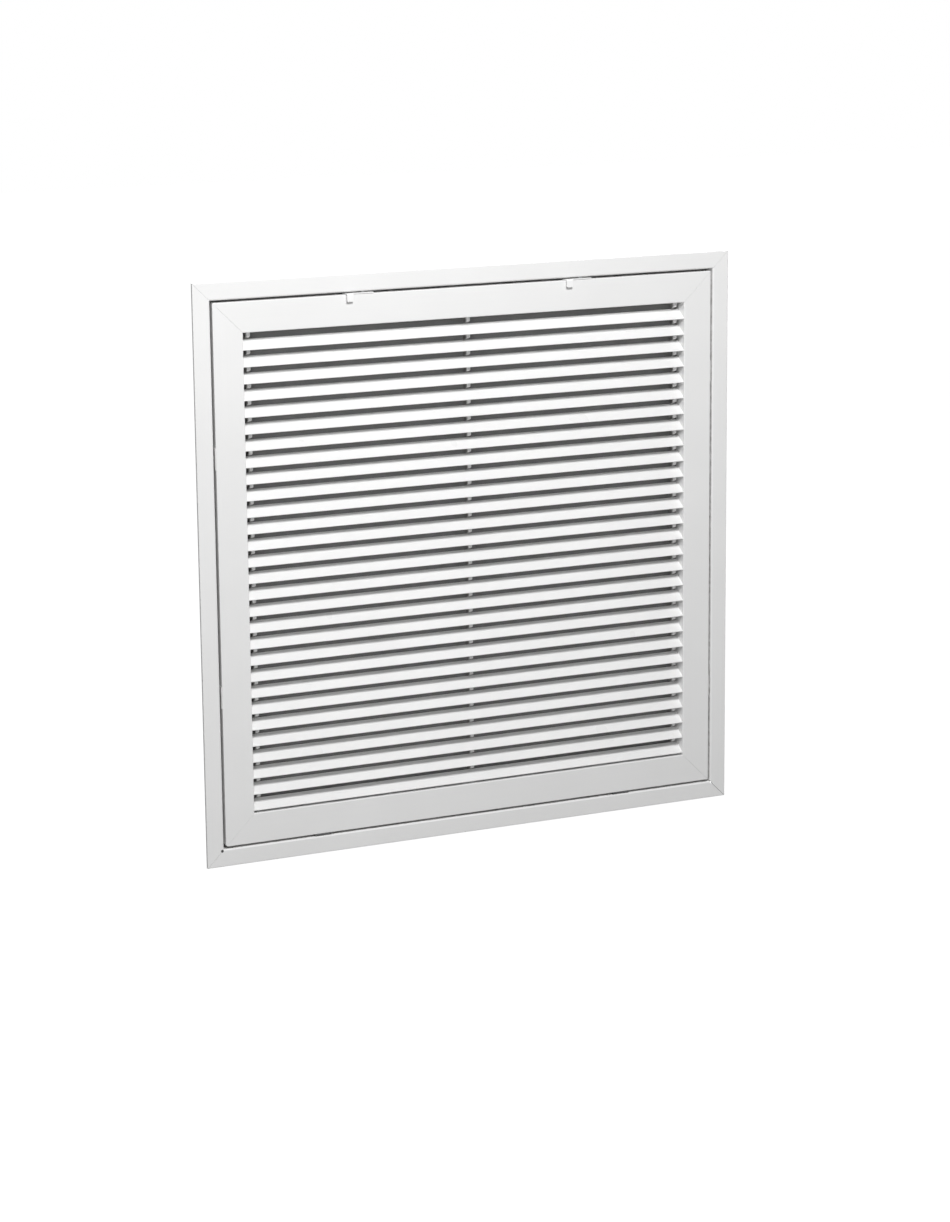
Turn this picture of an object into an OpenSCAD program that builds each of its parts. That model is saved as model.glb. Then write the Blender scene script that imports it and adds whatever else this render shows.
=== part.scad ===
// Return air filter grille: a louvred door, hinged along its bottom edge in a mitred flange frame
// whose neck holds a panel filter. The door's two thumb latches slide in the gap along its top edge.
// The origin is the centre of the neck on the wall plane: -Y faces the room, +Y goes into the duct, +Z is up.

/* [Frame] */
// Width over the flange
face_w = 673; // [500:1:760]
// Height over the flange
face_h = 673; // [500:1:760]
// Visible width of the flange, from its outer edge to the inside of the neck
flange_w = 20.5; // [18:0.5:34]
// Height of the flange's face off the wall
flange_rise = 3; // [2.6:0.1:6]
// Wall of the frame's extrusion
frame_t = 1.6; // [1.2:0.1:1.8]
// Width of the flange's outer lip, which bears on the wall
lip_w = 2; // [1.2:0.1:3]
// Radius along the flange's outer edge
flange_edge_r = 1; // [0.4:0.1:1.4]
// Radius along the flange's inner edge
neck_edge_r = 2.2; // [0.4:0.1:2.4]
// Height of the lip that stops the filter at the back of the neck
stop_w = 12; // [8:0.5:20]
// Depth of the neck behind the filter's stop
neck_tail = 12; // [6:1:40]
// Opening of the mitre joints
mitre_gap = 0.2; // [0:0.05:0.4]
// Extra opening of the mitre at the bottom right corner
worn_mitre = 0.45; // [0:0.05:0.6]

/* [Door] */
// Gap between the door and the neck
door_gap = 2.6; // [2.4:0.1:4]
// Width of the door's face
door_face_w = 35.4; // [28:0.1:45]
// Wall of the door's extrusion
door_t = 1.4; // [1:0.1:1.8]
// Depth of the door's outer return
outer_return = 12; // [9:0.5:12]
// Depth of the door's inner return, which carries the louvres
inner_return = 20; // [19:0.5:26]
// Radius along the door's outer edge
door_edge_r = 1; // [0.5:0.1:1.3]
// Radius along the edge of the louvred opening
opening_edge_r = 1.1; // [0.3:0.1:1.3]
// Radius of the filed corner at the bottom left of the door
filed_corner_r = 3.5; // [1:0.5:6]

/* [Louvres] */
// Spacing of the blades
blade_pitch = 19.05; // [17:0.05:25]
// Width of a blade across its slope
blade_w = 18; // [14:0.1:18.5]
// Thickness of a blade
blade_t = 1.2; // [0.8:0.1:1.6]
// Radius of the bead along a blade's front edge
bead_r = 0.8; // [0.7:0.1:1.1]
// Slope of a blade, rising to the back
blade_angle = 35; // [30:1:42]
// Drop from the top of the opening to the first blade's front edge
first_blade_drop = 19.4; // [16:0.1:24]
// Depth of the blades' front edges behind the door's face
blade_setback = 1; // [0.6:0.1:1.5]
// Width of an upright bar behind the blades
mullion_w = 5; // [4:0.5:10]
// Depth of an upright bar
mullion_d = 11; // [5:0.5:12]
// Distance from an outer bar to the side of the opening
mullion_inset = 6; // [1:0.5:12]

/* [Hinges] */
// Distance from the middle of the door to each hinge
hinge_x = 193.5; // [120:0.5:215]
// Width of a hinge
hinge_w = 20; // [16:1:40]
// Radius of the hinge pin
pin_r = 0.5; // [0.4:0.05:0.5]
// Running clearance round the hinge pin
pin_fit = 0.05; // [0.03:0.01:0.1]
// Outer radius of a hinge's knuckles
knuckle_r = 1; // [0.9:0.05:1]
// Thickness of a hinge's leaves
leaf_t = 0.5; // [0.4:0.05:0.5]
// Depth of a hinge's leaves
leaf_d = 9; // [6:0.5:10]
// Depth of the pin behind the door's face
pin_setback = 1.4; // [1.3:0.05:1.6]

/* [Latches] */
// Distance from the middle of the door to each latch
latch_x = 137.5; // [100:0.5:150]
// Length of a latch's bar
latch_w = 34; // [32:0.5:38]
// Thickness of a latch
latch_t = 1.1; // [0.8:0.05:1.1]
// Travel of a latch
latch_travel = 12; // [8:0.5:12]
// Distance of the thumb tab off the door's face
tab_off = 3; // [1:0.5:6]
// Width of the thumb tab
tab_w = 8; // [6:0.5:10]
// Length of the thumb tab below the top of the latch
tab_h = 9.2; // [7:0.2:14]
// Radius of the rivet that a latch slides on
stud_r = 1.5; // [1.2:0.1:1.6]

/* [Filter] */
// Room beside the filter, on each side
filter_side_play = 5; // [1:0.5:8]
// Room above the filter
filter_head_play = 10; // [2:0.5:16]
// Thickness of the filter
filter_t = 19; // [12:1:25]
// Distance from the back of the door to the filter
filter_clear = 3; // [3:0.5:6]
// Width of the filter's card border
border_w = 16; // [10:1:25]
// Thickness of the card
card_t = 1; // [0.6:0.1:1.5]

/* [Fixing] */
// Radius of the screw holes in the neck
screw_r = 2.4; // [2:0.1:3]
// Distance between the screw holes on each side
screw_spacing = 500; // [300:5:520]
// Depth of the screw holes behind the wall plane
screw_y = 14; // [12:0.5:16]

/* [Hidden] */
$fn = 48;
// Clearance of pieces that seat on each other
seat = 0.1;
// Clearance of pieces that slide past each other
slide = 0.3;
// Overlap that joins shapes and carries cuts past a surface
over = 1;
half_w = face_w / 2;
half_h = face_h / 2;
// Inside of the neck
neck_hw = half_w - flange_w;
neck_hh = half_h - flange_w;
// Outside of the door
door_hw = neck_hw - door_gap;
door_hh = neck_hh - door_gap;
// Louvred opening
open_hw = door_hw - door_face_w;
open_hh = door_hh - door_face_w;
face_y = -flange_rise;
outer_back = face_y + outer_return;
door_back = face_y + inner_return;
filter_y = door_back + filter_clear;
filter_w = 2 * (neck_hw - filter_side_play);
filter_h = 2 * neck_hh - filter_head_play;
stop_y = filter_y + filter_t;
neck_depth = stop_y + frame_t + neck_tail;
// Frame profile
rib_w = 1.4;
key_slot_w = flange_w - frame_t - rib_w - lip_w;
key_fit = 0.2;
key_arm = 45;
// Door profile
key_rib_d = 3;
key_rib_w = 1.2;
door_key_u = 8;
door_key_w = 16;
door_key_t = 2;
// Blades
blade_y = face_y + blade_setback + bead_r;
blade_run = (blade_w - bead_r) * cos(blade_angle);
blade_count = floor((2 * open_hh - first_blade_drop - bead_r) / blade_pitch) + 1;
// How far an upright bar reaches behind the blades
mullion_reach = 2.9;
mullion_y = blade_y + blade_run + mullion_reach - mullion_d;
mullion_x = open_hw - mullion_inset - mullion_w / 2;
// Hinges
pin_y = face_y + pin_setback;
pin_z = -neck_hh + door_gap / 2;
knuckle_gap = 0.3;
door_knuckle_l = hinge_w * 0.4 - knuckle_gap;
frame_knuckle_l = hinge_w * 0.3 - knuckle_gap;
frame_knuckle_x = (hinge_w - frame_knuckle_l) / 2;
leaf_y = pin_y + knuckle_r + slide;
pin_head_r = 0.9;
pin_head_t = 0.5;
// Latches
latch_z = door_hh + slide;
latch_proud = 0.8;
latch_front = face_y - latch_proud;
latch_back = 7.5;
stud_x = 6;
stud_y = 3.5;
stud_head_r = 3;
stud_head_t = 0.5;
tab_x = -12.5;
ear_x = 12;
ear_w = 10;
ear_y = 14.2;
ear_h = 8;
bend_r = 0.8;
tab_corner_r = 1.5;
keeper_t = 1.2;
keeper_w = 12;
finger_x = latch_w / 2 + 2.5;
finger_h = 6;
finger_y = ear_y - slide - keeper_t - 2 * seat;
leg_x = latch_w / 2 + latch_travel + 2;
// Side pads on the door, where an unused latch or hinge would go
pad_l = 25;
pad_d = 6;
pad_t = 0.9;
// Filter clips
clip_z = 200;
clip_w = 14;
clip_t = 1;
clip_base = 9;
clip_reach = 12;

function blade_name(i) = str("louvre_", i < 10 ? "0" : "", i);

paint = [0.93, 0.93, 0.92];
steel = [0.72, 0.73, 0.74];
dark_steel = [0.2, 0.2, 0.21];

// Turns a piece made for the bottom side to another side of the frame.
module on_side(turn) {
    rotate([0, turn, 0]) children();
}

// The sliver outside a rounded corner at (x, y), whose material lies towards (dx, dy).
module round_off(x, y, dx, dy, r) {
    translate([x + dx * r, y + dy * r]) difference() {
        translate([dx < 0 ? 0 : -r - over, dy < 0 ? 0 : -r - over]) square(r + over);
        circle(r);
    }
}

// A mitred bar along the bottom side, from a profile drawn in depth and distance from the outer edge.
module mitred_bar(length, half, left_cut, right_cut) {
    reach = flange_w + door_gap + door_face_w + stop_w;
    left = length / 2 - left_cut;
    right = length / 2 - right_cut;
    intersection() {
        translate([0, 0, -half]) rotate([90, 0, 90]) linear_extrude(height = length, center = true) children();
        rotate([90, 0, 0]) linear_extrude(height = 4 * neck_depth, center = true)
            polygon([
                [-left - over, -half - over],
                [right + over, -half - over],
                [right - reach, -half + reach],
                [-left + reach, -half + reach]
            ]);
    }
}

module frame_profile() {
    difference() {
        union() {
            translate([face_y, 0]) square([frame_t, flange_w]);
            translate([face_y, 0]) square([flange_rise, lip_w]);
            translate([face_y, flange_w - frame_t - rib_w]) square([flange_rise, rib_w + frame_t]);
            translate([face_y, flange_w - frame_t]) square([neck_depth - face_y, frame_t]);
            translate([stop_y, flange_w - frame_t]) square([frame_t, frame_t + stop_w]);
        }
        round_off(face_y, 0, 1, 1, flange_edge_r);
        round_off(face_y, flange_w, 1, -1, neck_edge_r);
    }
}

module frame_rail(length, half, left_cut = mitre_gap / 2, right_cut = mitre_gap / 2) {
    mitred_bar(length, half, left_cut, right_cut) frame_profile();
}

// Two screw holes through the wall of a side of the neck.
module screw_holes(half) {
    for (x = [-1, 1] * screw_spacing / 2)
        translate([x, screw_y, -half]) cylinder(r = screw_r, h = 2 * flange_w);
}

// The notch that the saw left at the bottom right corner of the neck.
module corner_notch() {
    notch_l = 4;
    notch_w = 1.8;
    translate([neck_hw, 0, -neck_hh]) rotate([0, 45, 0])
        translate([0, face_y, 0]) cube([2 * notch_l, 2 * flange_rise, notch_w], center = true);
}

// The pinhole left at the bottom left corner of the neck.
module corner_pinhole() {
    pinhole_r = 0.75;
    pinhole_out = 2.4;
    pinhole_drop = 2;
    translate([-neck_hw - pinhole_out, 0, -neck_hh - pinhole_drop]) rotate([90, 0, 0])
        cylinder(r = pinhole_r, h = 4 * flange_rise, center = true);
}

module frame_bottom_rail() {
    color(paint) difference() {
        frame_rail(face_w, half_h, right_cut = mitre_gap / 2 + worn_mitre);
        corner_notch();
        corner_pinhole();
    }
}

module frame_top_rail() {
    color(paint) on_side(180) frame_rail(face_w, half_h);
}

module frame_left_rail() {
    color(paint) difference() {
        on_side(90) difference() {
            frame_rail(face_h, half_w);
            screw_holes(half_w);
        }
        corner_pinhole();
    }
}

module frame_right_rail() {
    color(paint) difference() {
        on_side(-90) difference() {
            frame_rail(face_h, half_w);
            screw_holes(half_w);
        }
        corner_notch();
    }
}

// A flat corner key for the corner at (-x, -z), with its arms along the two rails.
module corner_key(x, z, width, thick) {
    translate([-x, 0, -z]) rotate([90, 0, 0]) linear_extrude(height = thick) difference() {
        square(key_arm);
        translate([width, width]) square(key_arm);
    }
}

module each_corner() {
    for (sx = [0, 1], sz = [0, 1])
        mirror([sx, 0, 0]) mirror([0, 0, sz]) children();
}

module frame_corner_keys() {
    thick = flange_rise - frame_t - key_fit;
    inset = lip_w + key_fit;
    color(steel) each_corner()
        translate([0, face_y + frame_t + thick, 0])
            corner_key(half_w - inset, half_h - inset, key_slot_w - 2 * key_fit, thick);
}

module door_profile() {
    difference() {
        union() {
            translate([face_y, 0]) square([door_t, door_face_w]);
            translate([face_y, 0]) square([outer_return, door_t]);
            translate([face_y, door_face_w - door_t]) square([inner_return, door_t]);
            for (u = [door_key_u - key_rib_w - key_fit, door_key_u + door_key_w + key_fit])
                translate([face_y, u]) square([door_t + key_rib_d, key_rib_w]);
        }
        round_off(face_y, 0, 1, 1, door_edge_r);
        round_off(face_y, door_face_w, 1, -1, opening_edge_r);
    }
}

module door_rail(length, half) {
    mitred_bar(length, half, mitre_gap / 2, mitre_gap / 2) door_profile();
}

// What is filed away at the bottom left corner of the door.
module filed_corner() {
    rotate([90, 0, 0]) linear_extrude(height = 4 * outer_return, center = true)
        round_off(-door_hw, -door_hh, 1, 1, filed_corner_r);
}

module door_bottom_rail() {
    color(paint) difference() {
        door_rail(2 * door_hw, door_hh);
        filed_corner();
    }
}

module door_left_rail() {
    color(paint) difference() {
        on_side(90) door_rail(2 * door_hh, door_hw);
        filed_corner();
    }
}

module door_right_rail() {
    color(paint) on_side(-90) door_rail(2 * door_hh, door_hw);
}

module door_top_rail() {
    color(paint) difference() {
        on_side(180) door_rail(2 * door_hw, door_hh);
        for (side = [-1, 1])
            translate([side * latch_x + stud_x, stud_y, door_hh - door_t - over])
                cylinder(r = stud_r + seat, h = door_t + 2 * over);
    }
}

module door_corner_keys() {
    color(steel) each_corner()
        translate([0, face_y + door_t + door_key_t, 0])
            corner_key(door_hw - door_key_u, door_hh - door_key_u, door_key_w, door_key_t);
}

// Section of a blade from the middle of its front bead, made thicker all round by grow.
module blade_section(grow = 0) {
    circle(bead_r + grow);
    rotate(blade_angle) translate([0, -blade_t / 2 - grow]) square([blade_w - bead_r + grow, blade_t + 2 * grow]);
}

function blade_z(i) = open_hh - first_blade_drop - (i - 1) * blade_pitch;

module louvre(i) {
    color(paint) translate([0, blade_y, blade_z(i)]) rotate([90, 0, 90])
        linear_extrude(height = 2 * open_hw, center = true) blade_section();
}

// An upright bar with a notch for the back of each blade.
module mullion(x) {
    color(paint) translate([x, 0, 0]) rotate([90, 0, 90]) linear_extrude(height = mullion_w, center = true)
        difference() {
            translate([mullion_y, -open_hh]) square([mullion_d, 2 * open_hh]);
            for (i = [1 : blade_count])
                translate([blade_y, blade_z(i)]) blade_section(seat);
        }
}

// A knuckle of a hinge, centred at x along the pin.
module knuckle(x, length) {
    translate([x, pin_y, pin_z]) rotate([0, 90, 0]) cylinder(r = knuckle_r, h = length, center = true);
}

module pin_bore(length) {
    translate([0, pin_y, pin_z]) rotate([0, 90, 0]) cylinder(r = pin_r + pin_fit, h = length, center = true);
}

module hinge_frame_leaf(x) {
    color(dark_steel) translate([x, 0, 0]) difference() {
        union() {
            for (side = [-1, 1]) {
                knuckle(side * frame_knuckle_x, frame_knuckle_l);
                translate([side * frame_knuckle_x - frame_knuckle_l / 2, pin_y, -neck_hh])
                    cube([frame_knuckle_l, leaf_y - pin_y + over, leaf_t]);
            }
            translate([-hinge_w / 2, leaf_y, -neck_hh]) cube([hinge_w, leaf_d, leaf_t]);
        }
        pin_bore(2 * hinge_w);
    }
}

module hinge_door_leaf(x) {
    color(dark_steel) translate([x, 0, 0]) difference() {
        union() {
            knuckle(0, door_knuckle_l);
            translate([-door_knuckle_l / 2, pin_y, -door_hh - leaf_t])
                cube([door_knuckle_l, leaf_y - pin_y + over, leaf_t]);
            translate([-hinge_w / 2, leaf_y, -door_hh - leaf_t]) cube([hinge_w, leaf_d, leaf_t]);
        }
        pin_bore(2 * hinge_w);
    }
}

module hinge_pin(x) {
    color(dark_steel) translate([x, pin_y, pin_z]) rotate([0, 90, 0]) {
        cylinder(r = pin_r, h = hinge_w + 2 * pin_head_t, center = true);
        for (side = [-1, 1])
            translate([0, 0, side * (hinge_w + pin_head_t) / 2])
                cylinder(r = pin_head_r, h = pin_head_t, center = true);
    }
}

// The latch plate seen from above, with its slot and the neck of its ear.
module latch_plan() {
    slot_r = stud_r + slide;
    difference() {
        union() {
            translate([-latch_w / 2, latch_front]) square([latch_w, latch_back - latch_front]);
            translate([ear_x - ear_w / 2, latch_front]) square([ear_w, ear_y + latch_t - latch_front]);
        }
        for (x = [stud_x, stud_x - latch_travel])
            translate([x, stud_y]) circle(slot_r);
        translate([stud_x - latch_travel, stud_y - slot_r]) square([latch_travel, 2 * slot_r]);
    }
}

// The thumb tab seen from the side: it comes out of the gap and bends down in front of the door's face.
module tab_section() {
    inner_y = face_y - tab_off;
    bend_y = inner_y + bend_r;
    bend_z = latch_z - bend_r;
    intersection() {
        translate([bend_y, bend_z]) difference() {
            circle(bend_r + latch_t);
            circle(bend_r);
        }
        translate([bend_y - 2 * latch_t, bend_z]) square(2 * latch_t);
    }
    translate([bend_y, latch_z]) square([latch_front - bend_y + over, latch_t]);
    translate([inner_y - latch_t, latch_z + latch_t - tab_h]) square([latch_t, tab_h - latch_t - bend_r]);
}

// The thumb tab seen from the front, with its lower corners rounded.
module tab_outline() {
    low = latch_z + latch_t - tab_h;
    translate([-tab_w / 2, low + tab_corner_r]) square([tab_w, tab_h]);
    translate([-tab_w / 2 + tab_corner_r, low]) square([tab_w - 2 * tab_corner_r, tab_h]);
    for (side = [-1, 1])
        translate([side * (tab_w / 2 - tab_corner_r), low + tab_corner_r]) circle(tab_corner_r);
}

module thumb_tab() {
    intersection() {
        rotate([90, 0, 90]) linear_extrude(height = tab_w, center = true) tab_section();
        rotate([90, 0, 0]) linear_extrude(height = 4 * outer_return, center = true) tab_outline();
    }
}

module latch(x) {
    color(paint) translate([x, 0, 0]) {
        translate([0, 0, latch_z]) linear_extrude(height = latch_t) latch_plan();
        translate([tab_x, 0, 0]) thumb_tab();
        translate([ear_x - ear_w / 2, ear_y, latch_z + latch_t - ear_h]) cube([ear_w, latch_t, ear_h]);
    }
}

// The rivets that the latches slide on, closed under the door's outer return.
module latch_rivets() {
    low = door_hh - door_t - stud_head_t;
    high = latch_z + latch_t + slide / 2;
    color(steel) for (side = [-1, 1])
        translate([side * latch_x + stud_x, stud_y, 0]) {
            translate([0, 0, low]) cylinder(r = stud_r, h = high - low + stud_head_t);
            translate([0, 0, low]) cylinder(r = stud_head_r, h = stud_head_t);
            translate([0, 0, high]) cylinder(r = stud_head_r, h = stud_head_t);
        }
}

// The keeper's finger stands in front of the latch's ear once the latch has slid across.
module keeper(x) {
    color(paint) translate([x, 0, 0]) {
        translate([leg_x, finger_y, neck_hh - keeper_t]) cube([keeper_w, ear_y - finger_y, keeper_t]);
        translate([leg_x, finger_y, latch_z - ear_h]) cube([keeper_t, ear_y - finger_y, neck_hh - latch_z + ear_h]);
        translate([finger_x, finger_y, latch_z - ear_h])
            cube([leg_x - finger_x + keeper_t, keeper_t, finger_h]);
    }
}

// The folded card tray round the filter's media, with two straps across its back.
module filter_frame() {
    strap_w = 14;
    strap_x = filter_w / 6;
    color("tan") translate([0, filter_y, -neck_hh]) {
        difference() {
            translate([-filter_w / 2, 0, 0]) cube([filter_w, filter_t, filter_h]);
            translate([-filter_w / 2 + card_t, card_t, card_t])
                cube([filter_w - 2 * card_t, filter_t - 2 * card_t, filter_h - 2 * card_t]);
            translate([-filter_w / 2 + border_w, -over, border_w])
                cube([filter_w - 2 * border_w, filter_t + 2 * over, filter_h - 2 * border_w]);
        }
        for (side = [-1, 1])
            translate([side * strap_x - strap_w / 2, filter_t - card_t, border_w / 2])
                cube([strap_w, card_t, filter_h - border_w]);
    }
}

// The media is a flat pad that fills the tray.
module filter_media() {
    wall = card_t + seat;
    color("dimgray") translate([-filter_w / 2 + wall, filter_y + wall, -neck_hh + wall])
        cube([filter_w - 2 * wall, filter_t - 2 * wall, filter_h - 2 * wall]);
}

// Four bent clips on the sides of the neck hold the filter against its stop.
module filter_clips() {
    color(steel) for (turn = [90, -90], along = [-clip_z, clip_z])
        on_side(turn) translate([along - clip_w / 2, 0, -neck_hw]) {
            translate([0, filter_y - clip_base, 0]) cube([clip_w, clip_base, clip_t]);
            translate([0, filter_y - clip_t, 0]) cube([clip_w, clip_t, clip_reach]);
        }
}

// Thin pads on the sides of the door keep it central in the neck.
module side_pads() {
    pad_y = face_y + door_edge_r;
    color("gainsboro") {
        for (z = [-1, 1] * latch_x)
            translate([-door_hw - pad_t, pad_y, z - pad_l / 2]) cube([pad_t, pad_d, pad_l]);
        for (z = [-1, 1] * hinge_x)
            translate([door_hw, pad_y, z - pad_l / 2]) cube([pad_t, pad_d, pad_l]);
    }
}

frame_bottom_rail();
frame_top_rail();
frame_left_rail();
frame_right_rail();
frame_corner_keys();
door_bottom_rail();
door_top_rail();
door_left_rail();
door_right_rail();
door_corner_keys();
for (i = [1 : blade_count]) louvre(i);
mullion(-mullion_x);  // mullion_left
mullion(0);  // mullion_centre
mullion(mullion_x);  // mullion_right
hinge_frame_leaf(-hinge_x);  // hinge_frame_leaf_left
hinge_frame_leaf(hinge_x);  // hinge_frame_leaf_right
hinge_door_leaf(-hinge_x);  // hinge_door_leaf_left
hinge_door_leaf(hinge_x);  // hinge_door_leaf_right
hinge_pin(-hinge_x);  // hinge_pin_left
hinge_pin(hinge_x);  // hinge_pin_right
latch(-latch_x);  // latch_left
latch(latch_x);  // latch_right
latch_rivets();
keeper(-latch_x);  // keeper_left
keeper(latch_x);  // keeper_right
filter_frame();
filter_media();
filter_clips();
side_pads();
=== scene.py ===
# %% [markdown]
# # A return air filter grille, dressed in Blender
#
# The grille is a hinged, louvred door in a flange frame, made of mitred aluminium extrusions with a baked
# white enamel, and a panel filter stands in the neck behind it. Its shapes come ready made from the CAD
# model: thin straight extrusions are exact there, so this script leaves them alone. What Blender adds is
# the finish of each surface, the light and the camera.

import math

import bmesh
import bpy
from mathutils import Matrix, Vector


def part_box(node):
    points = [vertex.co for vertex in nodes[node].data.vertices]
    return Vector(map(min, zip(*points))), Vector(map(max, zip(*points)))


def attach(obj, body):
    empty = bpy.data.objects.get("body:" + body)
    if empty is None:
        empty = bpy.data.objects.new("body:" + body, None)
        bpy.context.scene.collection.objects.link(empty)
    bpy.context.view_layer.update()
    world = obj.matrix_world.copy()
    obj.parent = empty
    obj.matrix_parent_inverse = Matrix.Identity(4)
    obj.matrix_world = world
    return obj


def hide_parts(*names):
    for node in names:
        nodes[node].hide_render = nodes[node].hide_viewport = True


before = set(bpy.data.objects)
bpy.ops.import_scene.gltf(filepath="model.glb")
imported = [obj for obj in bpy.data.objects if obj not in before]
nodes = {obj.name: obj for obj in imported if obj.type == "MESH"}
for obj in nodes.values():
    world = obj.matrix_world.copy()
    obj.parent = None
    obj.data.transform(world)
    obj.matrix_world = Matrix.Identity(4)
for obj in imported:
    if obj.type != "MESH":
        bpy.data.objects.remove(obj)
bpy.context.view_layer.update()

# %% [markdown]
# ## The camera
#
# A product photograph of a flat, square object shows where it was taken from. The left side is taller than
# the right side, so the camera stood to the left. The top and bottom edges fall differently, so it stood
# above. The values below put the corners of the square where the photograph has them. A long lens is used,
# as the perspective is weak, and the camera stands more than three metres away. The photograph frames the
# object a little above its middle while its upright edges stay nearly parallel, so the lens is shifted down
# by a twelfth of the picture's height instead of being tilted further.

# %% Place the camera
YAW, PITCH, ROLL = math.radians(-24.226), math.radians(11.257), math.radians(-0.541)
CAMERA_PLACE = Vector((-1.4391, -3.2081, 0.7502))
LENS_MM = 90.69
LENS_SHIFT = -100 / 1222

looking = Vector((-math.sin(YAW) * math.cos(PITCH), math.cos(YAW) * math.cos(PITCH), -math.sin(PITCH)))
level_right = Vector((math.cos(YAW), math.sin(YAW), 0))
level_up = level_right.cross(looking)
camera_right = math.cos(ROLL) * level_right + math.sin(ROLL) * level_up
camera_up = camera_right.cross(looking)

camera = bpy.data.objects.new("camera", bpy.data.cameras.new("camera"))
bpy.context.scene.collection.objects.link(camera)
turned = Matrix((camera_right, camera_up, -looking)).transposed().to_4x4()
camera.matrix_world = Matrix.Translation(CAMERA_PLACE) @ turned
camera.data.lens = LENS_MM
camera.data.sensor_width = 36
camera.data.shift_y = LENS_SHIFT
bpy.context.scene.camera = camera
print("camera", [round(v, 3) for v in CAMERA_PLACE], "with a lens of", LENS_MM, "mm")

# %% [markdown]
# ## Floor, background and light
#
# The photograph has a pure white background. That white must not come from more light on the object,
# because white enamel would lose its shades. So the world has two levels, chosen by the Light Path node:
# full white for what the camera and the reflections see, and a low level as the light that fills shadows.
# The floor lies well below, as under a grille on a wall, and gets a little extra white for the camera only,
# so that it stays white and can still carry a shadow.

# %% Helpers that make a node and join sockets
def add_node(tree, kind, **values):
    """Adds a node; a value named after an input sets it, and any other name sets a property of the node."""
    made = tree.nodes.new(kind)
    sockets = {s.identifier.replace(" ", "_"): s for s in made.inputs}
    for name, value in values.items():
        if name in sockets:
            sockets[name].default_value = value
        else:
            setattr(made, name, value)
    return made


def join(tree, source, target):
    tree.links.new(source, target)


# %% White for the camera, soft light for the object
FILL_LIGHT = 0.13

world = bpy.data.worlds.new("studio")
world.use_nodes = True
bpy.context.scene.world = world
tree = world.node_tree
tree.nodes.clear()
path = add_node(tree, "ShaderNodeLightPath")
seen = add_node(tree, "ShaderNodeMath", operation="MAXIMUM")
seen_through = add_node(tree, "ShaderNodeMath", operation="MAXIMUM")
join(tree, path.outputs["Is Camera Ray"], seen.inputs[0])
join(tree, path.outputs["Is Glossy Ray"], seen.inputs[1])
join(tree, seen.outputs[0], seen_through.inputs[0])
join(tree, path.outputs["Is Transmission Ray"], seen_through.inputs[1])
fill = add_node(tree, "ShaderNodeBackground", Strength=FILL_LIGHT)
white = add_node(tree, "ShaderNodeBackground", Strength=1.0)
for background in (fill, white):
    background.inputs["Color"].default_value = (1, 1, 1, 1)
either = add_node(tree, "ShaderNodeMixShader")
join(tree, seen_through.outputs[0], either.inputs[0])
join(tree, fill.outputs[0], either.inputs[1])
join(tree, white.outputs[0], either.inputs[2])
join(tree, either.outputs[0], add_node(tree, "ShaderNodeOutputWorld").inputs[0])

# %% A white floor well below the grille
FLOOR_Z = -2.4
FLOOR_HALF = 30.0
FLOOR_EXTRA = 0.9

floor_mesh = bpy.data.meshes.new("floor")
corners = [(x * FLOOR_HALF, y * FLOOR_HALF, FLOOR_Z) for x, y in ((-1, -1), (1, -1), (1, 1), (-1, 1))]
floor_mesh.from_pydata(corners, [], [(0, 1, 2, 3)])
floor = bpy.data.objects.new("floor", floor_mesh)
bpy.context.scene.collection.objects.link(floor)
paper = bpy.data.materials.new("white_paper")
paper.use_nodes = True
tree = paper.node_tree
sheet = tree.nodes["Principled BSDF"]
sheet.inputs["Base Color"].default_value = (0.9, 0.9, 0.9, 1)
sheet.inputs["Roughness"].default_value = 1.0
sheet.inputs["Specular IOR Level"].default_value = 0.0
sheet.inputs["Emission Color"].default_value = (1, 1, 1, 1)
path = add_node(tree, "ShaderNodeLightPath")
lift = add_node(tree, "ShaderNodeMath", operation="MULTIPLY")
lift.inputs[1].default_value = FLOOR_EXTRA
join(tree, path.outputs["Is Camera Ray"], lift.inputs[0])
join(tree, lift.outputs[0], sheet.inputs["Emission Strength"])
floor_mesh.materials.append(paper)

# %% [markdown]
# The enamel is brightest at the top left and falls off evenly to the bottom, and the back of each blade
# carries the shadow of the blade above, wider at the bottom than at the top, with a fairly crisp edge. Both
# say the same: one lamp, above and in front, not far away and not very large. The shadows are mid grey, so
# a wide, weak lamp beside the camera shines into the slots and gaps. A third lamp lights the back, which the
# photograph doesn't show and someone who turns the model will.

# %% Hang three soft lamps
def soft_lamp(name, place, target, width, height, watts):
    """An area lamp at place that faces target."""
    lamp = bpy.data.lights.new(name, "AREA")
    lamp.shape = "RECTANGLE"
    lamp.size, lamp.size_y = width, height
    lamp.energy = watts
    holder = bpy.data.objects.new(name, lamp)
    bpy.context.scene.collection.objects.link(holder)
    facing = Vector(target) - Vector(place)
    holder.matrix_world = Matrix.Translation(place) @ facing.to_track_quat("-Z", "Y").to_matrix().to_4x4()
    print(name, watts, "W at", place)
    return holder


soft_lamp("key_lamp", (-0.30, -1.53, 1.50), (0, 0, 0.05), 0.5, 0.42, 37.2)
soft_lamp("front_lamp", (-1.95, -3.2, 0.6), (0, 0, 0), 1.5, 1.2, 26)
soft_lamp("back_lamp", (1.4, 2.8, 1.3), (0, 0, 0), 1.5, 1.5, 45)

# %% [markdown]
# ## Effects that several finishes share
#
# Each effect is a node group with named inputs and outputs, built once and placed in each material with
# its own values. All of them work in the object's own metres, so a grain is the same size on each piece.
# The first is the skin of baked enamel. Paint that was sprayed and baked is never quite flat: it has a fine
# orange peel, its tone drifts a little over a hand's width, and the die lines of the extrusion still show
# faintly along the length of the rail.

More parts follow.
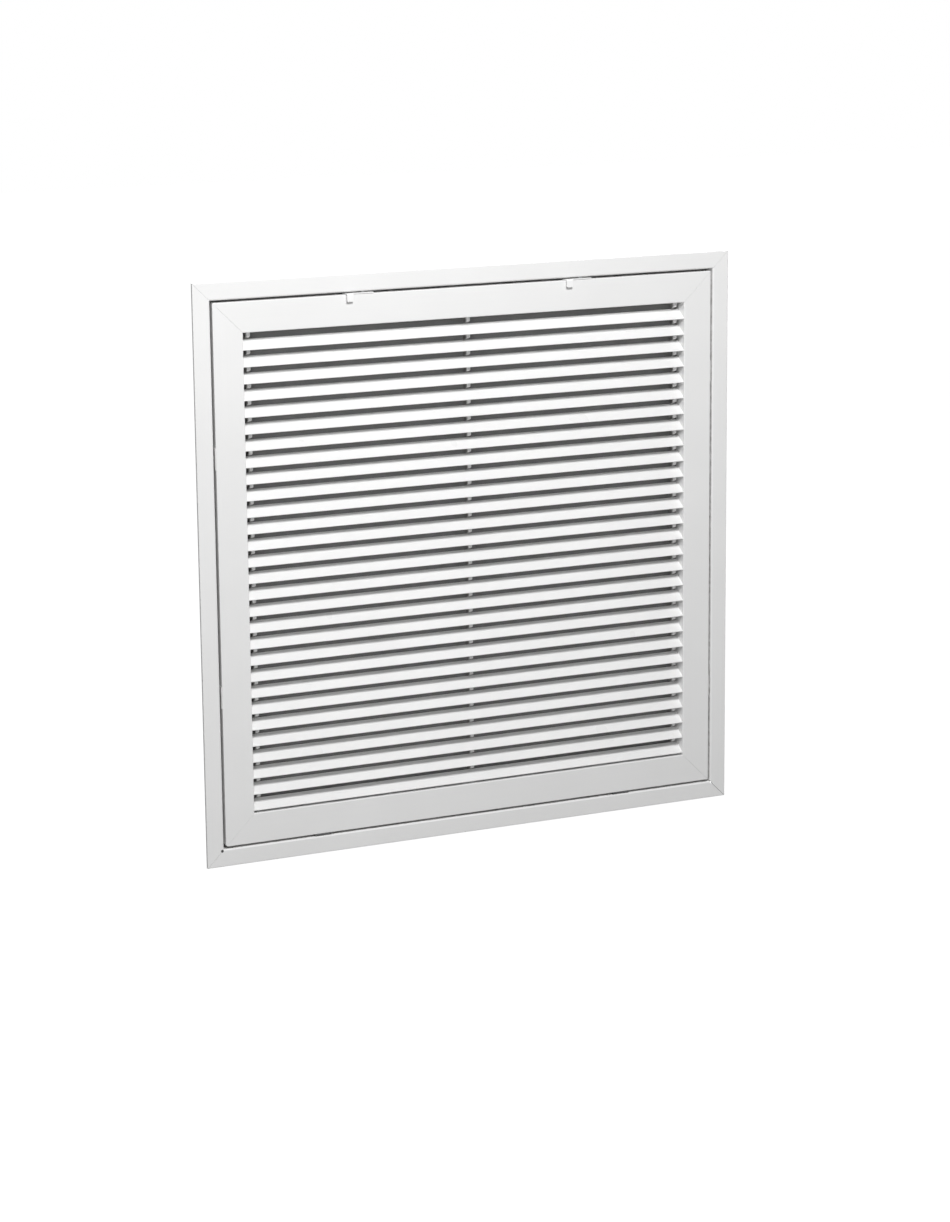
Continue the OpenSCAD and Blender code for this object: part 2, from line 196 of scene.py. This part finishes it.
# %% Helpers for building a node group
def new_group(name, inputs, outputs):
    """A shader node group with sockets given as (name, kind, default)."""
    group = bpy.data.node_groups.new(name, "ShaderNodeTree")
    for label, kind, default in inputs:
        socket = group.interface.new_socket(label, in_out="INPUT", socket_type=f"NodeSocket{kind}")
        socket.default_value = default
    for label, kind in outputs:
        group.interface.new_socket(label, in_out="OUTPUT", socket_type=f"NodeSocket{kind}")
    return group, group.nodes.new("NodeGroupInput"), group.nodes.new("NodeGroupOutput")


def noise(tree, where, scale, detail=2.0):
    made = add_node(tree, "ShaderNodeTexNoise", Scale=scale, Detail=detail)
    join(tree, where, made.inputs["Vector"])
    return made.outputs["Fac"]


def stretched(tree, where, scale):
    """The coordinates pulled out or pressed together along each axis; scale is a value or a socket."""
    made = add_node(tree, "ShaderNodeVectorMath", operation="MULTIPLY")
    join(tree, where, made.inputs[0])
    if isinstance(scale, bpy.types.NodeSocket):
        join(tree, scale, made.inputs[1])
    else:
        made.inputs[1].default_value = scale
    return made.outputs[0]


def calc(tree, operation, first, second=None, clamp=False):
    """A Math node; each operand is a number or a socket."""
    made = add_node(tree, "ShaderNodeMath", operation=operation, use_clamp=clamp)
    for place, value in ((0, first), (1, second)):
        if isinstance(value, bpy.types.NodeSocket):
            join(tree, value, made.inputs[place])
        elif value is not None:
            made.inputs[place].default_value = value
    return made.outputs[0]


def spread(tree, value, low, high, to_low=0.0, to_high=1.0):
    """Maps low..high to to_low..to_high, clamped."""
    made = add_node(tree, "ShaderNodeMapRange", From_Min=low, From_Max=high, To_Min=to_low, To_Max=to_high)
    join(tree, value, made.inputs["Value"])
    return made.outputs["Result"]


def shade(tree, colour, factor):
    """The colour times a varying factor."""
    made = add_node(tree, "ShaderNodeVectorMath", operation="SCALE")
    join(tree, colour, made.inputs[0])
    join(tree, factor, made.inputs["Scale"])
    return made.outputs[0]


# %% Group: the skin of baked enamel
def build_enamel_skin():
    group, given, result = new_group(
        "enamel skin",
        [("Colour", "Color", (0.86, 0.86, 0.855, 1)), ("Roughness", "Float", 0.38),
         ("Run", "Vector", (1, 1, 1)), ("Drift", "Float", 0.02), ("Peel", "Float", 0.6)],
        [("Colour", "Color"), ("Roughness", "Float"), ("Height", "Float")])
    here = add_node(group, "ShaderNodeTexCoord").outputs["Object"]
    tone = spread(group, noise(group, here, 11.0), 0.3, 0.7, -0.5, 0.5)
    peel = noise(group, here, 620.0, 1.0)
    lines = noise(group, stretched(group, here, given.outputs["Run"]), 1.0, 3.0)
    factor = calc(group, "ADD", calc(group, "MULTIPLY", tone, given.outputs["Drift"]), 1.0)
    faint = spread(group, lines, 0.25, 0.75, 0.993, 1.004)
    join(group, shade(group, given.outputs["Colour"], calc(group, "MULTIPLY", factor, faint)),
         result.inputs["Colour"])
    rough = calc(group, "MULTIPLY", tone, 0.10)
    join(group, calc(group, "ADD", given.outputs["Roughness"], rough, clamp=True), result.inputs["Roughness"])
    skin = calc(group, "ADD", calc(group, "MULTIPLY", peel, given.outputs["Peel"]),
                calc(group, "MULTIPLY", lines, 0.4))
    join(group, skin, result.inputs["Height"])
    return group


enamel_skin = build_enamel_skin()
print("group", enamel_skin.name, "with", len(enamel_skin.nodes), "nodes")

# %% [markdown]
# Paint thins on a sharp edge. The edge mask compares the true normal with one that is rounded over a small
# radius: they differ only near an edge. The corner mask is painted shade: it darkens places that are closed
# in, seen by the Ambient Occlusion node, broken up by noise, and so darkens the corners and the door's gaps.

# %% Group: thin paint along edges
def build_thin_edge():
    group, given, result = new_group("thin edge", [("Radius", "Float", 0.0006), ("Amount", "Float", 0.5)],
                                     [("Mask", "Float")])
    rounded = add_node(group, "ShaderNodeBevel", samples=4)
    join(group, given.outputs["Radius"], rounded.inputs["Radius"])
    true = add_node(group, "ShaderNodeNewGeometry").outputs["Normal"]
    alike = add_node(group, "ShaderNodeVectorMath", operation="DOT_PRODUCT")
    join(group, rounded.outputs["Normal"], alike.inputs[0])
    join(group, true, alike.inputs[1])
    turned_away = spread(group, alike.outputs["Value"], 0.995, 0.80)
    here = add_node(group, "ShaderNodeTexCoord").outputs["Object"]
    broken = spread(group, noise(group, here, 90.0, 4.0), 0.35, 0.65, 0.35, 1.0)
    mask = calc(group, "MULTIPLY", calc(group, "MULTIPLY", turned_away, broken), given.outputs["Amount"])
    join(group, mask, result.inputs["Mask"])
    return group


thin_edge = build_thin_edge()

# %% Group: painted shade in closed corners
def build_corner_shade():
    group, given, result = new_group("corner dust", [("Reach", "Float", 0.006), ("Amount", "Float", 0.3)],
                                     [("Mask", "Float")])
    closed = add_node(group, "ShaderNodeAmbientOcclusion", samples=4)
    join(group, given.outputs["Reach"], closed.inputs["Distance"])
    # painted shade: the less open a place is, the darker its enamel is painted
    corner = spread(group, closed.outputs["AO"], 0.75, 0.35)
    here = add_node(group, "ShaderNodeTexCoord").outputs["Object"]
    patchy = spread(group, noise(group, here, 160.0, 3.0), 0.35, 0.7, 0.2, 1.0)
    mask = calc(group, "MULTIPLY", calc(group, "MULTIPLY", corner, patchy), given.outputs["Amount"])
    join(group, mask, result.inputs["Mask"])
    return group


corner_shade = build_corner_shade()
print("groups", thin_edge.name, "and", corner_shade.name)

# %% [markdown]
# The real frame has a black pinhole at its bottom left corner. It is a real cut in the model, and painted
# shade makes it read as black. The painted shade is a mask by distance from a given place, so it stays on
# the flaw wherever the camera goes.

# %% Group: painted shade in a flaw
def build_flaw_shade():
    group, given, result = new_group("flaw dirt", [("Place", "Vector", (0, 0, 0)), ("Radius", "Float", 0.001)],
                                     [("Mask", "Float")])
    here = add_node(group, "ShaderNodeTexCoord").outputs["Object"]
    away = add_node(group, "ShaderNodeVectorMath", operation="DISTANCE")
    join(group, here, away.inputs[0])
    join(group, given.outputs["Place"], away.inputs[1])
    share = calc(group, "DIVIDE", away.outputs["Value"], given.outputs["Radius"])
    # painted shade: full inside the radius, fading out just beyond it
    join(group, spread(group, share, 1.35, 0.85), result.inputs["Mask"])
    return group


flaw_shade = build_flaw_shade()
print("group", flaw_shade.name)

# %% [markdown]
# Card and nonwoven filter cloth are both felted fibres: short threads laid in all directions. Three noises,
# each stretched along its own direction, and the brightest of them at each point, give such a tangle.

# %% Group: felted fibres
def build_felted_fibres():
    group, given, result = new_group("felted fibres", [("Fibre", "Float", 900.0)],
                                     [("Fibres", "Float"), ("Clumps", "Float")])
    here = add_node(group, "ShaderNodeTexCoord").outputs["Object"]
    layers = []
    for turn in (0.3, 1.35, 2.4):
        laid = add_node(group, "ShaderNodeVectorRotate", rotation_type="EULER_XYZ")
        laid.inputs["Rotation"].default_value = (turn, turn * 0.7, turn * 1.9)
        join(group, here, laid.inputs["Vector"])
        pulled = stretched(group, laid.outputs[0], (0.09, 1.0, 1.0))
        made = add_node(group, "ShaderNodeTexNoise", Detail=2.0)
        join(group, pulled, made.inputs["Vector"])
        join(group, given.outputs["Fibre"], made.inputs["Scale"])
        layers.append(made.outputs["Fac"])
    tangle = calc(group, "MAXIMUM", calc(group, "MAXIMUM", layers[0], layers[1]), layers[2])
    join(group, spread(group, tangle, 0.45, 0.75), result.inputs["Fibres"])
    join(group, spread(group, noise(group, here, 70.0, 3.0), 0.3, 0.7), result.inputs["Clumps"])
    return group


felted_fibres = build_felted_fibres()
print("group", felted_fibres.name, "with", len(felted_fibres.nodes), "nodes")

# %% [markdown]
# ## The finishes
#
# A material takes the shared effects, sets its own values and ends in a Principled BSDF. The rails run in
# two directions, so the enamel comes in two versions: die lines along X for the top and bottom rails, the
# blades and the small parts, and along Z for the side rails and the upright bars.

# %% A helper that places a group, and one that ends a material
def place_group(tree, group, **values):
    made = tree.nodes.new("ShaderNodeGroup")
    made.node_tree = group
    for name, value in values.items():
        made.inputs[name].default_value = value
    return made


def new_material(name):
    material = bpy.data.materials.new(name)
    material.use_nodes = True
    return material, material.node_tree, material.node_tree.nodes["Principled BSDF"]


def mixed(tree, factor, first, second):
    """A colour mix; first and second are colours or sockets."""
    made = add_node(tree, "ShaderNodeMix", data_type="RGBA")
    join(tree, factor, made.inputs["Factor"])
    for place, value in ((6, first), (7, second)):
        if isinstance(value, bpy.types.NodeSocket):
            join(tree, value, made.inputs[place])
        else:
            made.inputs[place].default_value = value
    return made.outputs[2]


def bumped(tree, height, shader, distance, strength=1.0):
    bump = add_node(tree, "ShaderNodeBump", Distance=distance, Strength=strength)
    join(tree, height, bump.inputs["Height"])
    join(tree, bump.outputs["Normal"], shader.inputs["Normal"])


# %% White enamel in two directions
ENAMEL = (0.86, 0.86, 0.857, 1)
BRIGHT_ENAMEL = (0.91, 0.91, 0.907, 1)
THIN_PAINT = (0.60, 0.60, 0.59, 1)
# colour of the painted shade that the corner mask lays in closed corners and gaps
CORNER_SHADE = (0.30, 0.295, 0.28, 1)
ALONG_X = (3.0, 1500.0, 1500.0)
ALONG_Z = (1500.0, 1500.0, 3.0)


PINHOLE = ((-0.3182, -0.0024, -0.3178), 0.0016)
# near-black painted shade that makes the pinhole read as black
PAINTED_HOLE_SHADE = (0.012, 0.012, 0.012, 1)


def enamel(name, colour, run, roughness=0.32, edge=0.2, shading=0.7, flaws=()):
    material, tree, shader = new_material(name)
    skin = place_group(tree, enamel_skin, Colour=colour, Run=run, Roughness=roughness)
    worn = place_group(tree, thin_edge, Amount=edge)
    # painted shade: the corner mask darkens closed corners and the gaps round the door
    shaded_corners = place_group(tree, corner_shade, Amount=shading)
    thin = mixed(tree, worn.outputs["Mask"], skin.outputs["Colour"], THIN_PAINT)
    tone = mixed(tree, shaded_corners.outputs["Mask"], thin, CORNER_SHADE)
    for place, radius in flaws:
        # painted shade: each flaw is darkened to near black
        hole_shade = place_group(tree, flaw_shade, Place=place, Radius=radius)
        tone = mixed(tree, hole_shade.outputs["Mask"], tone, PAINTED_HOLE_SHADE)
    join(tree, tone, shader.inputs["Base Color"])
    join(tree, skin.outputs["Roughness"], shader.inputs["Roughness"])
    bumped(tree, skin.outputs["Height"], shader, 0.00004)
    return material


frame_x = enamel("frame_enamel_along_x", ENAMEL, ALONG_X, flaws=(PINHOLE,))
frame_z = enamel("frame_enamel_along_z", ENAMEL, ALONG_Z, flaws=(PINHOLE,))
door_x = enamel("door_enamel_along_x", ENAMEL, ALONG_X, shading=0.1)
door_z = enamel("door_enamel_along_z", ENAMEL, ALONG_Z, shading=0.1)
blade_x = enamel("blade_enamel", BRIGHT_ENAMEL, ALONG_X, edge=0.1, shading=0.1)
small_part = enamel("small_part_enamel", BRIGHT_ENAMEL, ALONG_X, roughness=0.28, edge=0.1, shading=0.1)
print("six enamels")

# %% [markdown]
# Zinc plate on the pins, rivets, clips and corner keys is a thin bright metal. It is drawn metal under the
# plating, so it has fine lines, and cloudy patches where the plating is duller.

# %% Zinc plated steel
def zinc_plate():
    material, tree, shader = new_material("zinc_plate")
    here = add_node(tree, "ShaderNodeTexCoord").outputs["Object"]
    drawn = noise(tree, stretched(tree, here, (60.0, 2600.0, 2600.0)), 1.0, 3.0)
    cloud = noise(tree, here, 210.0, 4.0)
    join(tree, mixed(tree, spread(tree, cloud, 0.35, 0.65), (0.52, 0.54, 0.56, 1), (0.68, 0.69, 0.70, 1)),
         shader.inputs["Base Color"])
    rough = calc(tree, "ADD", spread(tree, cloud, 0.3, 0.7, 0.24, 0.40), calc(tree, "MULTIPLY", drawn, 0.12))
    join(tree, rough, shader.inputs["Roughness"])
    shader.inputs["Metallic"].default_value = 1.0
    bumped(tree, drawn, shader, 0.00003)
    return material


zinc = zinc_plate()

# %% [markdown]
# The filter is the part that is thrown away. Its tray is folded from grey-brown board, and its media is a
# grey nonwoven pad, which reads as dark grey through the slots because it lies in shade. Board is nearly
# flat, and the cloth is rough with a little sheen from its loose fibres.

# %% Board and grey cloth
def filter_board():
    material, tree, shader = new_material("filter_board")
    felt = place_group(tree, felted_fibres, Fibre=700.0)
    tone = mixed(tree, felt.outputs["Clumps"], (0.50, 0.43, 0.33, 1), (0.58, 0.51, 0.40, 1))
    join(tree, mixed(tree, felt.outputs["Fibres"], tone, (0.66, 0.60, 0.50, 1)), shader.inputs["Base Color"])
    shader.inputs["Roughness"].default_value = 0.85
    bumped(tree, felt.outputs["Fibres"], shader, 0.00008)
    return material


def grey_cloth():
    material, tree, shader = new_material("grey_cloth")
    felt = place_group(tree, felted_fibres, Fibre=900.0)
    tone = mixed(tree, felt.outputs["Clumps"], (0.205, 0.205, 0.203, 1), (0.225, 0.225, 0.222, 1))
    join(tree, mixed(tree, felt.outputs["Fibres"], tone, (0.235, 0.235, 0.232, 1)), shader.inputs["Base Color"])
    shader.inputs["Roughness"].default_value = 0.95
    shader.inputs["Sheen Weight"].default_value = 0.25
    bumped(tree, felt.outputs["Fibres"], shader, 0.0002)
    return material


board = filter_board()
cloth = grey_cloth()

# %% [markdown]
# The side pads are soft plastic, moulded and matt, with the fine pebble of a spark-eroded mould.

# %% Matt plastic pads
def pad_plastic():
    material, tree, shader = new_material("pad_plastic")
    here = add_node(tree, "ShaderNodeTexCoord").outputs["Object"]
    pebble = noise(tree, here, 1400.0, 2.0)
    join(tree, mixed(tree, spread(tree, noise(tree, here, 60.0), 0.3, 0.7), (0.62, 0.62, 0.61, 1),
                     (0.70, 0.70, 0.69, 1)), shader.inputs["Base Color"])
    join(tree, spread(tree, pebble, 0.3, 0.7, 0.5, 0.65), shader.inputs["Roughness"])
    bumped(tree, pebble, shader, 0.00005)
    return material


pad = pad_plastic()

# %% [markdown]
# The hinges show in the photograph only as slight breaks in the dark gap. So they aren't enamelled like the
# latches: their steel is painted nearly black, which is painted shade standing for the depth of the gap, and
# it wears to bare metal where the knuckles rub.

# %% Steel painted dark as the shade of the gap
def black_oxide():
    material, tree, shader = new_material("black_oxide")
    here = add_node(tree, "ShaderNodeTexCoord").outputs["Object"]
    cloud = noise(tree, here, 240.0, 4.0)
    rubbed = place_group(tree, thin_edge, Radius=0.0004, Amount=0.5)
    # painted shade: the steel is nearly black, as the knuckles would be in the shade of the gap
    shaded_steel = mixed(tree, spread(tree, cloud, 0.3, 0.7), (0.09, 0.09, 0.094, 1), (0.13, 0.129, 0.13, 1))
    join(tree, mixed(tree, rubbed.outputs["Mask"], shaded_steel, (0.22, 0.22, 0.22, 1)), shader.inputs["Base Color"])
    join(tree, spread(tree, cloud, 0.3, 0.7, 0.42, 0.6), shader.inputs["Roughness"])
    shader.inputs["Metallic"].default_value = 0.6
    bumped(tree, cloud, shader, 0.00003)
    return material


shaded_steel = black_oxide()

# %% [markdown]
# ## The upright bars
#
# Three upright bars hold the blades at their spacing. In the photograph each shows only as a small light
# square in the upper half of every slot, so the bar doesn't reach forward along the top of a blade: between
# two blades it is a lug that hangs from the upper one, and its front is cut away towards the back edge of
# the lower one. The CAD bar is a plain strip with one notch for each blade. A piece that stands for it is
# built here inside the same strip: its side view is one outline, run down the front from blade to blade,
# and the outline is thickened along X. The blades are measured, so the outline follows them.

# %% Measure the blades and the strip
LUG_DROP = 0.0050
NOTCH_PLAY = 0.0001
BEAD_R, BLADE_T, BLADE_SLOPE = 0.0008, 0.0012, math.radians(35)

blade_boxes = [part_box(name) for name in sorted(n for n in nodes if n.startswith("louvre_"))]
bead_y = blade_boxes[0][0][1] + BEAD_R
bead_heights = sorted((low[2] + BEAD_R for low, high in blade_boxes), reverse=True)
blade_back = blade_boxes[0][1][1] + NOTCH_PLAY
pitch = bead_heights[0] - bead_heights[1]
print(len(bead_heights), "blades,", round(pitch * 1000, 2), "mm apart")

# %% The outline of a bar, seen from the side
def bar_outline(front, back, bottom, top):
    """Points (y, z) down the front of the bar, round each blade, and up its back."""
    half_notch = BLADE_T / 2 + NOTCH_PLAY
    under_y = blade_back
    under_z = (under_y - bead_y) * math.tan(BLADE_SLOPE) - half_notch / math.cos(BLADE_SLOPE)
    over_y = under_y - 2 * half_notch * math.sin(BLADE_SLOPE)
    over_z = under_z + 2 * half_notch * math.cos(BLADE_SLOPE)
    lug_z = (front - bead_y) * math.tan(BLADE_SLOPE) - half_notch / math.cos(BLADE_SLOPE)
    points = [(front, top)]
    for z in bead_heights:
        points += [(front, z + pitch - LUG_DROP), (over_y, z + over_z), (under_y, z + under_z), (front, z + lug_z)]
    return points + [(front, bottom), (back, bottom), (back, top)]


# %% [markdown]
# The enamel of the bars is painted darker from the lugs' fronts towards the back: painted shade, as the
# bars reach deeper behind the blades. The depth is read in the piece's own metres, where Y is the distance
# behind the wall.

# %% Enamel with painted shade towards the back
# painted shade: the depth where it begins, the depth where it is full, and its colour
SHADE_FROM_Y, SHADE_FULL_Y = 0.0050, 0.0095
BACK_SHADE = (0.17, 0.168, 0.162, 1)


def back_shaded_enamel():
    material, tree, shader = new_material("soiled_bar_enamel")
    skin = place_group(tree, enamel_skin, Colour=ENAMEL, Run=ALONG_Z, Roughness=0.34)
    parts = add_node(tree, "ShaderNodeSeparateXYZ")
    here = add_node(tree, "ShaderNodeTexCoord").outputs["Object"]
    join(tree, here, parts.inputs[0])
    ragged = calc(tree, "ADD", parts.outputs["Y"], spread(tree, noise(tree, here, 300.0, 3.0), 0.3, 0.7, -0.0008, 0.0008))
    # painted shade: the enamel darkens to the shade colour between the two depths, with a ragged edge
    join(tree, mixed(tree, spread(tree, ragged, SHADE_FROM_Y, SHADE_FULL_Y), skin.outputs["Colour"], BACK_SHADE),
         shader.inputs["Base Color"])
    join(tree, skin.outputs["Roughness"], shader.inputs["Roughness"])
    bumped(tree, skin.outputs["Height"], shader, 0.00004)
    return material


bar_enamel = back_shaded_enamel()

# %% Build the three bars
BAR_EDGE = 0.0003
BAR_SLIM = 0.0010


def lugged_bar(name):
    low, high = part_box(name)
    outline = bar_outline(low[1], high[1], low[2], high[2])
    mesh = bpy.data.meshes.new("lugged_" + name)
    built = bmesh.new()
    side = [built.verts.new((low[0] + BAR_SLIM, y, z)) for y, z in outline]
    face = built.faces.new(side)
    moved = bmesh.ops.extrude_face_region(built, geom=[face])["geom"]
    bmesh.ops.translate(built, vec=(high[0] - low[0] - BAR_SLIM, 0, 0),
                        verts=[v for v in moved if isinstance(v, bmesh.types.BMVert)])
    bmesh.ops.recalc_face_normals(built, faces=built.faces)
    built.to_mesh(mesh)
    built.free()
    piece = bpy.data.objects.new("lugged_" + name, mesh)
    bpy.context.scene.collection.objects.link(piece)
    softened = piece.modifiers.new("softened edges", "BEVEL")
    softened.width, softened.segments, softened.limit_method = BAR_EDGE, 2, "ANGLE"
    piece.data.materials.append(bar_enamel)
    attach(piece, "door")
    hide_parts(name)
    print(piece.name, len(outline), "points round its side")
    return piece


bars = [lugged_bar(name) for name in ("mullion_left", "mullion_centre", "mullion_right")]

# %% [markdown]
# ## Dress the pieces
#
# Every piece of the CAD model gets one of these finishes, chosen by its name. The first name that fits
# is used, so the list goes from the special pieces to the general ones.

# %% Give each piece its finish
FINISHES = [
    ("frame_corner_keys", zinc), ("door_corner_keys", zinc), ("hinge_", shaded_steel), ("latch_rivets", zinc),
    ("filter_clips", zinc), ("filter_frame", board), ("filter_media", cloth), ("side_pads", pad),
    ("frame_left", frame_z), ("frame_right", frame_z), ("frame_", frame_x),
    ("door_left", door_z), ("door_right", door_z), ("door_", door_x),
    ("louvre_", blade_x), ("mullion_", bar_enamel), ("latch_", small_part),
    ("keeper_", small_part),
]

for name, piece in nodes.items():
    finish = next(material for start, material in FINISHES if name.startswith(start))
    piece.data.materials.clear()
    piece.data.materials.append(finish)
print(len(nodes), "pieces dressed in", len({id(m) for _, m in FINISHES}), "finishes")

# %% [markdown]
# ## The view transform
#
# The colours are shown with the Standard view transform.

# %% View transform
bpy.context.scene.view_settings.view_transform = "Standard"
